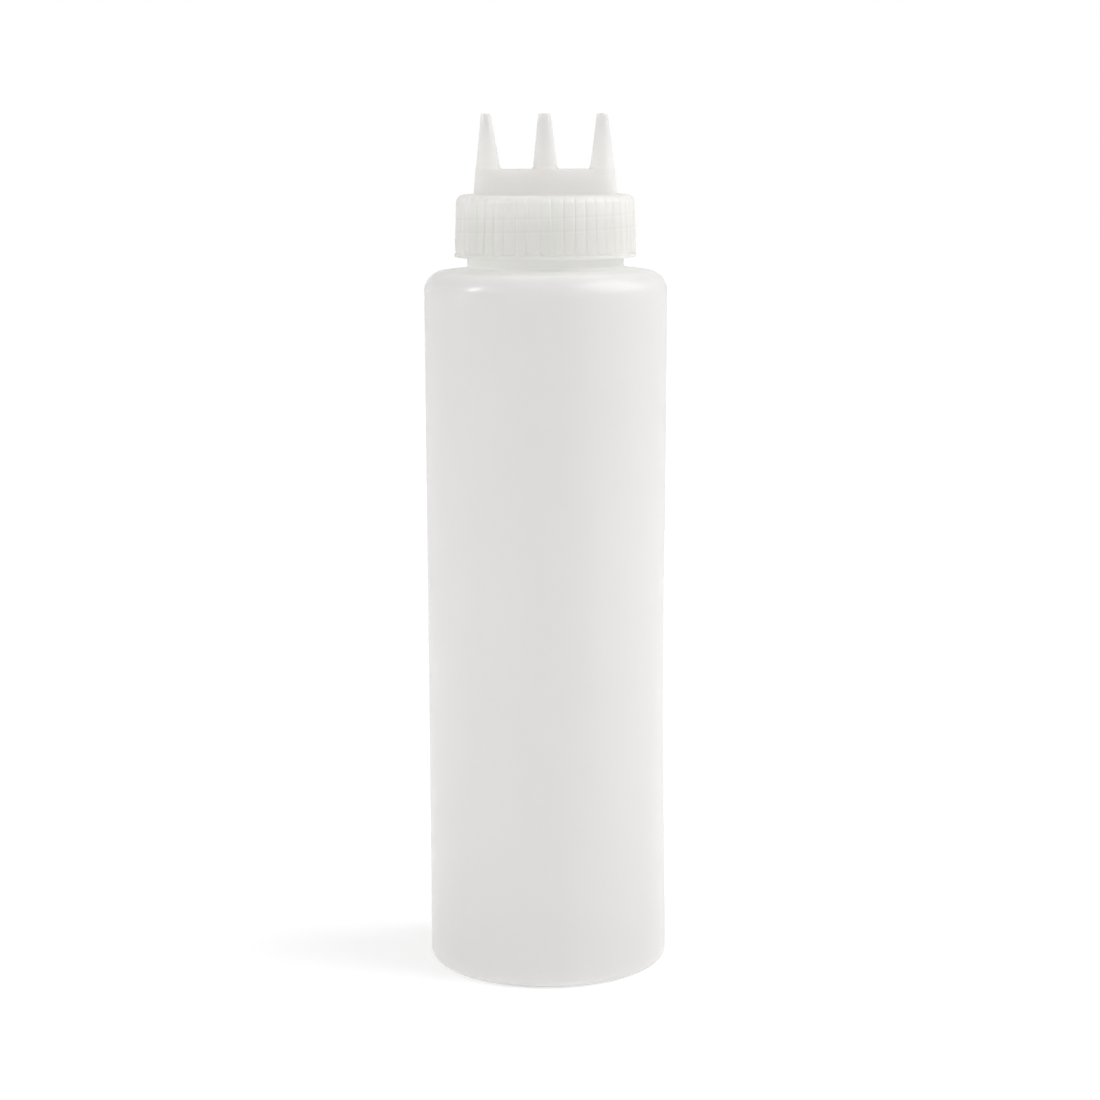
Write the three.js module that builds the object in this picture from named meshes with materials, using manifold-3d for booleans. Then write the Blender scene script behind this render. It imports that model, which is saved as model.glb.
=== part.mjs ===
import * as THREE from "three";
import { mergeVertices } from "three/addons/utils/BufferGeometryUtils.js";
import Module from "manifold-3d";

// Squeeze bottle with a triple-nozzle screw cap, in millimetres, +Z up.
// The origin is the centre of the standing ring's plane and X runs along the row of nozzles.

// Bottle body and shoulder
const BODY_R = 40;
const BODY_WALL = 1.15;
const BASE_EDGE_R = 2.7;
const RING_WIDTH = 2.2;
const PUSH_UP = 3.2;
const PUSH_UP_SLOPE_RUN = 7;
const SHOULDER_TOP_Z = 233.95;
const SHOULDER_DROP = 0.85;
const SHOULDER_EDGE_R = 6.9;
const SHOULDER_EDGE_SWEEP = 85;

// Neck and its thread
const NECK_R = 25.8;
const NECK_WALL = 1.9;
const NECK_HEIGHT = 21.5;
const NECK_FILLET_R = 0.8;
const LIP_Z = SHOULDER_TOP_Z + NECK_HEIGHT;
const LIP_ROUND = 0.4;
const THREAD_PITCH = 25.4 / 6;
const THREAD_TURNS = 1.7;
const THREAD_BELOW_LIP = 8;
const THREAD_DEPTH = 1.2;
const THREAD_ROOT_WIDTH = 2.5;
const THREAD_CREST_WIDTH = 0.9;
const THREAD_ROOT_SINK = 0.5;
const THREAD_RUN_OUT_SHARE = 0.1;
const THREAD_END_SHARE = 0.15;
const THREAD_STEPS_PER_TURN = 36;

// Cap skirt, its bore over the neck and its grip ribs
const SEAT_GAP = 0.3;
const CAP_TOP_WALL = 2;
const CAP_HEIGHT = 20.25;
const CEILING_Z = LIP_Z + SEAT_GAP;
const CAP_TOP_Z = CEILING_Z + CAP_TOP_WALL;
const CAP_RIM_Z = CAP_TOP_Z - CAP_HEIGHT;
const THREAD_CLEARANCE = 0.35;
const THREAD_BORE_R = NECK_R + THREAD_DEPTH + THREAD_CLEARANCE;
const UPPER_BORE_CLEARANCE = 0.45;
const BORE_CHAMFER = 0.5;
const SKIRT_WALL = 2.02;
const SKIRT_DRAFT = 0.55;
const CAP_CORNER_R = 2.6;
const RIM_BEAD_REACH = 0.6;
const RIM_BEAD_HEIGHT = 1.2;
const RIM_BEAD_ROUND = 0.3;
const RIB_COUNT = 48;
const RIB_HEIGHT = 0.42;
const RIB_FULLNESS = 0.42;
const RIB_END_LENGTH = 1.7;
const RIB_ABOVE_BEAD = 0.2;
const RIB_START_Z = CAP_RIM_Z + RIM_BEAD_HEIGHT + RIB_ABOVE_BEAD;
const GROOVE_NARROWING = 0.47;

// Plug seal under the cap top
const PLUG_WALL = 1.1;
const PLUG_DEPTH = 3.6;
const PLUG_LEAD_IN = 0.5;

// Hollow block across the cap top and the three nozzles on it
const NOZZLE_PITCH = 18.65;
const BLOCK_HEIGHT = 8.2;
const BLOCK_TOP_Z = CAP_TOP_Z + BLOCK_HEIGHT;
const BLOCK_TOP_R = 4.1;
const BLOCK_DRAFT = 0.7;
const BLOCK_WALL = 1.8;
const BLOCK_TOP_WALL = 2;
const NOZZLE_HEIGHT = 17.85;
const TIP_Z = BLOCK_TOP_Z + NOZZLE_HEIGHT;
const TIP_ROUND = 0.3;
const TIP_WALL = 0.75;
const NOZZLE_STEP = 0.1;
const NOZZLE_BASE_R = BLOCK_TOP_R - NOZZLE_STEP;
const NOZZLE_WALL = 1.57;
const NOZZLE_FILLET = 1;
const NOZZLES = [
  { place: -1, tipR: 1.6, lean: -0.6 },
  { place: 0, tipR: 2.04, lean: -0.15 },
  { place: 1, tipR: 1.82, lean: 0.1 },
];

// Facets of round forms, and how far one solid reaches into or past another that it joins or cuts
const BODY_SEGMENTS = 72;
const BORE_SEGMENTS = 72;
const SKIRT_SEGMENTS = RIB_COUNT * 4;
const NOZZLE_SEGMENTS = 24;
const ARC_STEPS = 4;
const OVERLAP = 0.5;

const wasm = await Module();
wasm.setup();

// A geometry as a solid: shared vertices merged, faces outward.
function solidOf(geometry) {
  const bare = geometry.clone();
  bare.deleteAttribute("normal");
  bare.deleteAttribute("uv");
  const merged = mergeVertices(bare, 1e-4);
  return new wasm.Manifold(
    new wasm.Mesh({
      numProp: 3,
      vertProperties: merged.attributes.position.array,
      triVerts: new Uint32Array(merged.index.array),
    }),
  );
}

// A named mesh from a finished solid.
function meshOf(name, solid, material) {
  const { vertProperties, triVerts } = solid.getMesh();
  const geometry = new THREE.BufferGeometry();
  geometry.setAttribute("position", new THREE.BufferAttribute(vertProperties, 3));
  geometry.setIndex(new THREE.BufferAttribute(triVerts, 1));
  geometry.computeVertexNormals();
  const mesh = new THREE.Mesh(geometry, material);
  mesh.name = name;
  return mesh;
}

// Moves every vertex of a geometry by a function of its place.
function reshape(geometry, place) {
  const position = geometry.attributes.position;
  const p = new THREE.Vector3();
  for (let i = 0; i < position.count; i++) {
    place(p.fromBufferAttribute(position, i));
    position.setXYZ(i, p.x, p.y, p.z);
  }
  return geometry;
}

// Turns a profile of [radius, height] points about Z. It runs up the outside, from axis to axis.
function revolve(profile, segments) {
  const points = profile.map(([r, z]) => new THREE.Vector2(r, z));
  return new THREE.LatheGeometry(points, segments).rotateX(Math.PI / 2);
}

// Points of an arc about [r, z], from one angle to another in degrees.
function arc(r, z, radius, from, to, steps = ARC_STEPS) {
  return Array.from({ length: steps + 1 }, (_, i) => {
    const a = THREE.MathUtils.degToRad(from + ((to - from) * i) / steps);
    return [r + radius * Math.cos(a), z + radius * Math.sin(a)];
  });
}

// The outside of the bottle without its thread, or the hollow inside when inset by the walls.
function bottleProfile(bodyInset, neckInset, mouthZ) {
  const r = BODY_R - bodyInset;
  const edge = BASE_EDGE_R;
  const baseZ = bodyInset;
  const ringInnerR = BODY_R - BASE_EDGE_R - RING_WIDTH;
  const shoulderEdge = SHOULDER_EDGE_R - bodyInset;
  const edgeCentreR = BODY_R - SHOULDER_EDGE_R;
  const edgeCentreZ = SHOULDER_TOP_Z - SHOULDER_DROP - SHOULDER_EDGE_R;
  const neckR = NECK_R - neckInset;
  const slopeTopZ = SHOULDER_TOP_Z - bodyInset;
  return [
    [0, baseZ + PUSH_UP],
    [ringInnerR - PUSH_UP_SLOPE_RUN, baseZ + PUSH_UP * 0.8],
    [ringInnerR - PUSH_UP_SLOPE_RUN / 3, baseZ + PUSH_UP * 0.35],
    [ringInnerR, baseZ],
    ...arc(r - edge, baseZ + edge, edge, -90, 0),
    ...arc(edgeCentreR, edgeCentreZ, shoulderEdge, 0, SHOULDER_EDGE_SWEEP),
    [neckR + NECK_FILLET_R, slopeTopZ],
    [neckR + NECK_FILLET_R * 0.3, slopeTopZ + NECK_FILLET_R * 0.3],
    [neckR, slopeTopZ + NECK_FILLET_R],
    [neckR, mouthZ],
  ];
}

// The neck's screw thread: a straight bar of the thread's section, wound up round the neck.
function neckThread() {
  const half = THREAD_ROOT_WIDTH / 2;
  const crestHalf = THREAD_CREST_WIDTH / 2;
  const height = THREAD_ROOT_SINK + THREAD_DEPTH;
  const section = new THREE.Shape([
    new THREE.Vector2(-half, 0),
    new THREE.Vector2(half, 0),
    new THREE.Vector2(crestHalf, height),
    new THREE.Vector2(-crestHalf, height),
  ]);
  const steps = Math.round(THREAD_STEPS_PER_TURN * THREAD_TURNS);
  const bar = new THREE.ExtrudeGeometry(section, { depth: 1, steps, bevelEnabled: false });
  const turnsBeforeFront = (THREAD_TURNS - 1) / 2;
  reshape(bar, (p) => {
    const along = p.z;
    const turns = along * THREAD_TURNS - turnsBeforeFront;
    const fromEnd = Math.min(1, along / THREAD_RUN_OUT_SHARE, (1 - along) / THREAD_RUN_OUT_SHARE);
    const rise = THREE.MathUtils.lerp(THREAD_END_SHARE, 1, fromEnd);
    const radius = NECK_R - THREAD_ROOT_SINK + p.y * rise;
    const angle = 2 * Math.PI * turns - Math.PI / 2;
    const z = LIP_Z - THREAD_BELOW_LIP + p.x + (turns - 0.5) * THREAD_PITCH;
    p.set(radius * Math.cos(angle), radius * Math.sin(angle), z);
  });
  return bar;
}

// The blow-moulded bottle: outside and thread, less the hollow inside.
function bottle() {
  const outside = [
    ...bottleProfile(0, 0, LIP_Z - LIP_ROUND),
    ...arc(NECK_R - LIP_ROUND, LIP_Z - LIP_ROUND, LIP_ROUND, 45, 90, 1),
    [0, LIP_Z],
  ];
  const inside = [...bottleProfile(BODY_WALL, NECK_WALL, LIP_Z + OVERLAP), [0, LIP_Z + OVERLAP]];
  return solidOf(revolve(outside, BODY_SEGMENTS))
    .add(solidOf(neckThread()))
    .subtract(solidOf(revolve(inside, BODY_SEGMENTS)));
}

// How far the skirt's surface is raised into ribs: round-shouldered between narrow grooves, with
// round lower ends, and running out over the top corner. Across goes from -1 to 1 over one rib.
function ribLift(across, z) {
  const toEnd = THREE.MathUtils.clamp((z - RIB_START_Z) / RIB_END_LENGTH, 0, 1);
  const toTop = THREE.MathUtils.clamp((CAP_TOP_Z - z) / CAP_CORNER_R, 0, 1);
  const room = 1 - across ** 2 - (1 - toEnd) ** 2 - (1 - toTop) ** 2;
  return RIB_HEIGHT * Math.max(0, room) ** RIB_FULLNESS;
}

// The outside of the cap's skirt and top, solid within.
function skirt() {
  const beadTopZ = CAP_RIM_Z + RIM_BEAD_HEIGHT;
  const lowerR = THREAD_BORE_R + SKIRT_WALL;
  const upperR = lowerR - SKIRT_DRAFT;
  const beadR = lowerR + RIM_BEAD_REACH;
  const endShares = [0, 0.25, 0.6, 1];
  const profile = [
    [0, CAP_RIM_Z],
    [beadR - RIM_BEAD_ROUND, CAP_RIM_Z],
    [beadR, CAP_RIM_Z + RIM_BEAD_ROUND],
    [beadR, beadTopZ - RIM_BEAD_ROUND],
    [lowerR, beadTopZ],
    ...endShares.map((share) => [lowerR, RIB_START_Z + RIB_END_LENGTH * share]),
    ...arc(upperR - CAP_CORNER_R, CAP_TOP_Z - CAP_CORNER_R, CAP_CORNER_R, 0, 90, 3),
    [0, CAP_TOP_Z],
  ];
  const surface = revolve(profile, SKIRT_SEGMENTS);
  reshape(surface, (p) => {
    const radius = Math.hypot(p.x, p.y);
    if (radius < upperR - CAP_CORNER_R) return;
    const ribs = (Math.atan2(p.y, p.x) * RIB_COUNT) / (2 * Math.PI);
    const rib = Math.round(ribs);
    const even = 2 * (ribs - rib);
    const across = Math.sign(even) * Math.abs(even) ** GROOVE_NARROWING;
    const angle = ((rib + across / 2) * 2 * Math.PI) / RIB_COUNT;
    const lifted = radius + ribLift(across, p.z);
    p.set(lifted * Math.cos(angle), lifted * Math.sin(angle), p.z);
  });
  return solidOf(surface);
}

// The room for the neck inside the skirt: wide past the thread, closer to the plain neck above it.
function skirtBore() {
  const upperR = NECK_R + UPPER_BORE_CLEARANCE;
  const threadHeight = THREAD_PITCH * THREAD_TURNS + THREAD_ROOT_WIDTH;
  const threadTopZ = LIP_Z - THREAD_BELOW_LIP + threadHeight / 2;
  return solidOf(
    revolve(
      [
        [0, CAP_RIM_Z - OVERLAP],
        [THREAD_BORE_R + BORE_CHAMFER + OVERLAP, CAP_RIM_Z - OVERLAP],
        [THREAD_BORE_R, CAP_RIM_Z + BORE_CHAMFER],
        [THREAD_BORE_R, threadTopZ],
        [upperR, threadTopZ + THREAD_BORE_R - upperR],
        [upperR, CEILING_Z],
        [0, CEILING_Z],
      ],
      BORE_SEGMENTS,
    ),
  );
}

// The ring that plugs the neck's mouth, with a lead-in at its lower edge.
function plugSeal() {
  const outerR = NECK_R - NECK_WALL - SEAT_GAP;
  const innerR = outerR - PLUG_WALL;
  const rootZ = CEILING_Z + OVERLAP;
  const tipZ = CEILING_Z - PLUG_DEPTH;
  return solidOf(
    revolve(
      [
        [innerR, tipZ],
        [outerR - PLUG_LEAD_IN, tipZ],
        [outerR, tipZ + 2 * PLUG_LEAD_IN],
        [outerR, rootZ],
        [innerR, rootZ],
        [innerR, tipZ],
      ],
      BORE_SEGMENTS,
    ),
  );
}

// A drafted block with round ends about the outer nozzles' axes, between two heights.
function roundEndedBlock(lowZ, lowR, highZ, highR) {
  const half = NOZZLE_PITCH;
  const outline = new THREE.Shape();
  outline.absarc(half, 0, 1, -Math.PI / 2, Math.PI / 2);
  outline.absarc(-half, 0, 1, Math.PI / 2, Math.PI * 1.5);
  const options = { depth: 1, steps: 1, bevelEnabled: false, curveSegments: NOZZLE_SEGMENTS / 2 };
  const block = new THREE.ExtrudeGeometry(outline, options);
  reshape(block, (p) => {
    const radius = THREE.MathUtils.lerp(lowR, highR, p.z);
    const axisX = Math.sign(p.x) * half;
    p.set(axisX + (p.x - axisX) * radius, p.y * radius, THREE.MathUtils.lerp(lowZ, highZ, p.z));
  });
  return solidOf(block);
}

// The block's outer radius at a height, on its straight draft.
function blockRadius(z) {
  return BLOCK_TOP_R + (BLOCK_DRAFT * (BLOCK_TOP_Z - z)) / BLOCK_HEIGHT;
}

// A form turned about a nozzle's axis, which leans a little to one side on its way up.
function nozzleForm(nozzle, profile) {
  const geometry = revolve(profile, NOZZLE_SEGMENTS);
  reshape(geometry, (p) => {
    const up = Math.max(0, (p.z - BLOCK_TOP_Z) / NOZZLE_HEIGHT);
    p.x += nozzle.place * NOZZLE_PITCH + nozzle.lean * up;
  });
  return solidOf(geometry);
}

// A nozzle's cone with a rounded tip.
function nozzleCone(nozzle) {
  return nozzleForm(nozzle, [
    [0, BLOCK_TOP_Z - OVERLAP],
    [NOZZLE_BASE_R, BLOCK_TOP_Z - OVERLAP],
    [NOZZLE_BASE_R, BLOCK_TOP_Z],
    [nozzle.tipR, TIP_Z - TIP_ROUND],
    [nozzle.tipR - TIP_ROUND * 0.3, TIP_Z - TIP_ROUND * 0.3],
    [nozzle.tipR - TIP_ROUND, TIP_Z],
    [0, TIP_Z],
  ]);
}

// The fillet at a nozzle's foot, kept to the width of the block.
function nozzleFoot(nozzle) {
  const coneSlope = (NOZZLE_BASE_R - nozzle.tipR) / NOZZLE_HEIGHT;
  const upperR = NOZZLE_BASE_R - coneSlope * NOZZLE_FILLET;
  const flare = nozzleForm(nozzle, [
    [0, BLOCK_TOP_Z - OVERLAP],
    [upperR + NOZZLE_FILLET, BLOCK_TOP_Z - OVERLAP],
    ...arc(upperR + NOZZLE_FILLET, BLOCK_TOP_Z + NOZZLE_FILLET, NOZZLE_FILLET, 270, 180, 4),
    [0, BLOCK_TOP_Z + NOZZLE_FILLET],
  ]);
  const topZ = BLOCK_TOP_Z + 2 * NOZZLE_FILLET;
  const width = roundEndedBlock(BLOCK_TOP_Z - 2 * OVERLAP, BLOCK_TOP_R, topZ, NOZZLE_BASE_R);
  return flare.intersect(width);
}

// The way through a nozzle, narrowing to its opening.
function nozzleBore(nozzle) {
  const lowZ = BLOCK_TOP_Z - BLOCK_TOP_WALL - OVERLAP;
  const lowR = NOZZLE_BASE_R - NOZZLE_WALL;
  const mouthR = nozzle.tipR - TIP_WALL;
  return nozzleForm(nozzle, [
    [0, lowZ],
    [lowR, lowZ],
    [lowR, BLOCK_TOP_Z],
    [mouthR, TIP_Z - 2 * mouthR],
    [mouthR, TIP_Z + OVERLAP],
    [0, TIP_Z + OVERLAP],
  ]);
}

// The moulded cap: skirt, block and nozzles joined, then hollowed.
function nozzleCap() {
  const blockLowZ = CAP_TOP_Z - OVERLAP;
  const cavityLowZ = CEILING_Z - OVERLAP;
  const cavityHighZ = BLOCK_TOP_Z - BLOCK_TOP_WALL;
  const block = roundEndedBlock(blockLowZ, blockRadius(blockLowZ), BLOCK_TOP_Z, BLOCK_TOP_R);
  const cavity = roundEndedBlock(
    cavityLowZ,
    blockRadius(cavityLowZ) - BLOCK_WALL,
    cavityHighZ,
    blockRadius(cavityHighZ) - BLOCK_WALL,
  );
  let cap = skirt().add(block);
  for (const nozzle of NOZZLES) cap = cap.add(nozzleFoot(nozzle)).add(nozzleCone(nozzle));
  cap = cap.subtract(skirtBore()).subtract(cavity);
  for (const nozzle of NOZZLES) cap = cap.subtract(nozzleBore(nozzle));
  return cap.add(plugSeal());
}

const bottlePlastic = new THREE.MeshStandardMaterial({ color: 0xe3e1dd, roughness: 0.42, metalness: 0 });
const capPlastic = new THREE.MeshStandardMaterial({ color: 0xe0dcd6, roughness: 0.36, metalness: 0 });

const part = new THREE.Group();
part.name = "squeeze_bottle";
part.add(meshOf("bottle", bottle(), bottlePlastic));
part.add(meshOf("nozzle_cap", nozzleCap(), capPlastic));

export default part;
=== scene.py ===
import math

import bmesh
import bpy
from mathutils import Matrix, Vector


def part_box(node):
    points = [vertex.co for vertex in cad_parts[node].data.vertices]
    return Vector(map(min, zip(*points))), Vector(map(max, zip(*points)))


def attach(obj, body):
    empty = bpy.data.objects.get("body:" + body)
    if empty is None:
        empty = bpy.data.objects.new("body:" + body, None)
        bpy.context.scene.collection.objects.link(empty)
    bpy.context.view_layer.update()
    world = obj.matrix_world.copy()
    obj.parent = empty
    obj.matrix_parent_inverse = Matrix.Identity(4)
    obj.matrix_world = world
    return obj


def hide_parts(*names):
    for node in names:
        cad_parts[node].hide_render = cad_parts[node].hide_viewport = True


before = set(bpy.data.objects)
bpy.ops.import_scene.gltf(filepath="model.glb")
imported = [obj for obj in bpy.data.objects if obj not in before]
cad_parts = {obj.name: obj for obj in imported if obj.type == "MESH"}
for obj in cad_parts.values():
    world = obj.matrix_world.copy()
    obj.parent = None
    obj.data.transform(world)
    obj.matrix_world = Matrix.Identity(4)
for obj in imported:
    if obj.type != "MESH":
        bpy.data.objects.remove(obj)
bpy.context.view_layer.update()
MM = 0.001

# Bottle: one hollow blow-moulded shell of natural LDPE, with a round body, a nearly flat
# shoulder, a neck and a pushed-up base. The mould leaves a faint seam up both sides and a
# pinched ridge across the base. Its soft wall is drawn in a little low on one side.
BOTTLE_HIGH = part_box("bottle")[1]
BODY_R = BOTTLE_HIGH.x
LIP_Z = BOTTLE_HIGH.z
BODY_WALL = 1.15 * MM
BASE_EDGE_R = 2.7 * MM
RING_WIDTH = 2.2 * MM
PUSH_UP = 3.2 * MM
PUSH_UP_RUN = 7 * MM
PUSH_UP_FLAT = 0.75
PUSH_UP_RINGS = 18
PUSH_UP_SLOPE_RINGS = 12
SHOULDER_TOP_Z = 233.95 * MM
SHOULDER_DROP = 0.85 * MM
SHOULDER_EDGE_R = 6.9 * MM
SHOULDER_EDGE_SWEEP = 85
NECK_R = 25.8 * MM
NECK_WALL = 1.9 * MM
NECK_FILLET_R = 0.8 * MM
LIP_ROUND = 0.4 * MM
SEAM_HEIGHT = 0.07 * MM
SEAM_WIDTH = 0.7 * MM
PINCH_HEIGHT = 0.45 * MM
PINCH_WIDTH = 0.8 * MM
WALL_DIP = 0.8 * MM
WALL_DIP_Z = 100 * MM
WALL_DIP_SPREAD = 72 * MM
WALL_DIP_FADE = 30 * MM
WALL_DIP_TURN = 0.9
BODY_COLUMNS = 360
WALL_ROWS = 52
BASE_EDGE_STEPS = 12
SHOULDER_EDGE_STEPS = 18
FILLET_STEPS = 8
LIP_STEPS = 4
SHARP_FROM_DEGREES = 38
SAME_PLACE = 1e-7


def arc(r, z, radius, start, end, steps):
    """Points [radius, height] of an arc about (r, z), between two angles in degrees."""
    angles = [math.radians(start + (end - start) * i / steps) for i in range(steps + 1)]
    return [(r + radius * math.cos(a), z + radius * math.sin(a)) for a in angles]


def straight(start, end, steps):
    """Points along a line after its start and before its end."""
    return [tuple(s + (e - s) * i / steps for s, e in zip(start, end)) for i in range(1, steps)]


def turned(name, profile, columns, shape=None):
    """A closed mesh turned about Z from a profile that runs up the outside and down the inside,
    from axis to axis. Shape moves each point once it is in place."""
    mesh = bmesh.new()
    rings = []
    for r, z in profile:
        if r < SAME_PLACE:
            rings.append([mesh.verts.new((0, 0, z))])
            continue
        angles = [2 * math.pi * i / columns for i in range(columns)]
        rings.append([mesh.verts.new((r * math.cos(a), r * math.sin(a), z)) for a in angles])
    for low, high in zip(rings, rings[1:]):
        for i in range(columns):
            j = (i + 1) % columns
            corners = [low[i % len(low)], low[j % len(low)], high[j % len(high)], high[i % len(high)]]
            mesh.faces.new(list(dict.fromkeys(corners)))
    if shape:
        for vert in mesh.verts:
            vert.co = shape(vert.co)
    bmesh.ops.recalc_face_normals(mesh, faces=mesh.faces)
    return piece(name, mesh)


def smooth_but_sharp(data):
    """Smooth shading that leaves a mesh's real edges sharp."""
    data.shade_smooth()
    data.set_sharp_from_angle(angle=math.radians(SHARP_FROM_DEGREES))


def piece(name, mesh):
    """An object from a bmesh."""
    data = bpy.data.meshes.new(name)
    mesh.to_mesh(data)
    mesh.free()
    smooth_but_sharp(data)
    made = bpy.data.objects.new(name, data)
    bpy.context.scene.collection.objects.link(made)
    return made


def bottle_side(inset, neck_inset, mouth_z):
    """One side of the bottle's wall, from the axis at the base to the neck's mouth."""
    ring_inner = BODY_R - BASE_EDGE_R - RING_WIDTH
    edge_r, edge_z = BODY_R - inset - BASE_EDGE_R, inset + BASE_EDGE_R
    turn_r, turn_z = BODY_R - SHOULDER_EDGE_R, SHOULDER_TOP_Z - SHOULDER_DROP - SHOULDER_EDGE_R
    turn_radius = SHOULDER_EDGE_R - inset
    neck_r = NECK_R - neck_inset
    fillet_r, fillet_z = neck_r + NECK_FILLET_R, SHOULDER_TOP_Z - inset + NECK_FILLET_R
    flat_end = (PUSH_UP_FLAT * ring_inner, inset + PUSH_UP)
    push_end = ring_inner - PUSH_UP_RUN
    slope = []
    for k in range(1, PUSH_UP_SLOPE_RINGS):
        share = k / PUSH_UP_SLOPE_RINGS
        drop = 0.5 + 0.5 * math.cos(math.pi * share)
        slope.append((push_end + PUSH_UP_RUN * share, inset + PUSH_UP * drop))
    return [
        (0, inset + PUSH_UP),
        *straight((0, inset + PUSH_UP), flat_end, PUSH_UP_RINGS),
        flat_end,
        (push_end, inset + PUSH_UP),
        *slope,
        (ring_inner, inset),
        *arc(edge_r, edge_z, BASE_EDGE_R, -90, 0, BASE_EDGE_STEPS),
        *straight((BODY_R - inset, edge_z), (BODY_R - inset, turn_z), WALL_ROWS),
        *arc(turn_r, turn_z, turn_radius, 0, SHOULDER_EDGE_SWEEP, SHOULDER_EDGE_STEPS),
        *arc(fillet_r, fillet_z, NECK_FILLET_R, 262, 180, FILLET_STEPS),
        (neck_r, mouth_z),
    ]


def blown(point):
    """Moves a point of the wall to where the soft moulding leaves it."""
    r, z = math.hypot(point.x, point.y), point.z
    if r > NECK_R - 2 * NECK_WALL and z > PUSH_UP:
        across = math.atan2(point.y, abs(point.x)) * r
        seam = SEAM_HEIGHT * math.exp(-((across / SEAM_WIDTH) ** 2)) if z > BASE_EDGE_R else 0
        side = math.exp(-((math.atan2(point.y, point.x) / WALL_DIP_TURN) ** 2))
        dip = WALL_DIP * side * math.exp(-(((z - WALL_DIP_Z) / WALL_DIP_SPREAD) ** 2))
        dip *= min(1, (z - PUSH_UP) / WALL_DIP_FADE)
        if r < BODY_R - BODY_WALL / 2:
            seam = 0
        scale = (r + seam - dip) / r
        return Vector((point.x * scale, point.y * scale, z))
    ring_inner = BODY_R - BASE_EDGE_R - RING_WIDTH
    if r < ring_inner - PUSH_UP_RUN and z < PUSH_UP + BODY_WALL / 2:
        fade = max(0, 1 - (r / (ring_inner - PUSH_UP_RUN)) ** 4)
        ridge = PINCH_HEIGHT * fade * math.exp(-((point.y / PINCH_WIDTH) ** 2))
        return Vector((point.x, point.y, z - ridge))
    return point


outside = bottle_side(0, 0, LIP_Z - LIP_ROUND)
inside = bottle_side(BODY_WALL, NECK_WALL, LIP_Z - LIP_ROUND)
lip = arc(NECK_R - LIP_ROUND, LIP_Z - LIP_ROUND, LIP_ROUND, 15, 90, LIP_STEPS)
lip += arc(NECK_R - NECK_WALL + LIP_ROUND, LIP_Z - LIP_ROUND, LIP_ROUND, 90, 165, LIP_STEPS)
bottle = turned("bottle_shell", [*outside, *lip, *reversed(inside)], BODY_COLUMNS, blown)


def linear(hex_colour):
    """A linear colour from an sRGB hex value."""
    channels = [int(hex_colour[i : i + 2], 16) / 255 for i in (1, 3, 5)]
    return (*[c / 12.92 if c <= 0.04045 else ((c + 0.055) / 1.055) ** 2.4 for c in channels], 1)


def add(tree, kind, inputs=None, **settings):
    """Adds a node with its settings; each input is a value, another node's output, or another
    node, which stands for its first output."""
    node = tree.nodes.new(kind)
    for key, value in settings.items():
        setattr(node, key, value)
    for key, value in (inputs or {}).items():
        if isinstance(value, bpy.types.Node):
            value = value.outputs[0]
        if isinstance(value, bpy.types.NodeSocket):
            tree.links.new(value, node.inputs[key])
        else:
            node.inputs[key].default_value = value
    return node


LDPE_IOR = 1.51
LDPE_ROUGHNESS = 0.22
GLOSS_LEVEL = 0.9
CLEAR_SHARE = 0.5
SPREAD_SHARE = 0.45
STREAK_WIDTH = 11 * MM
STREAK_STRETCH = 0.07
STREAK_DETAIL = 4
STREAK_FROM, STREAK_FULL = 0.35, 0.7
STREAK_TINT = "#fdfefd"
SPECK_SPACING = 24 * MM
SPECK_CORE = 0.3 * MM
SPECK_EDGE = 0.7 * MM
SPECK_RARITY = 0.9
SPECK_TINT = "#c9c2b8"
SKIN_GRAIN = 1.4 * MM
SKIN_DEPTH = 0.01 * MM
SKIN_DETAIL = 3
SKIN_STRENGTH = 0.5


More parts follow.
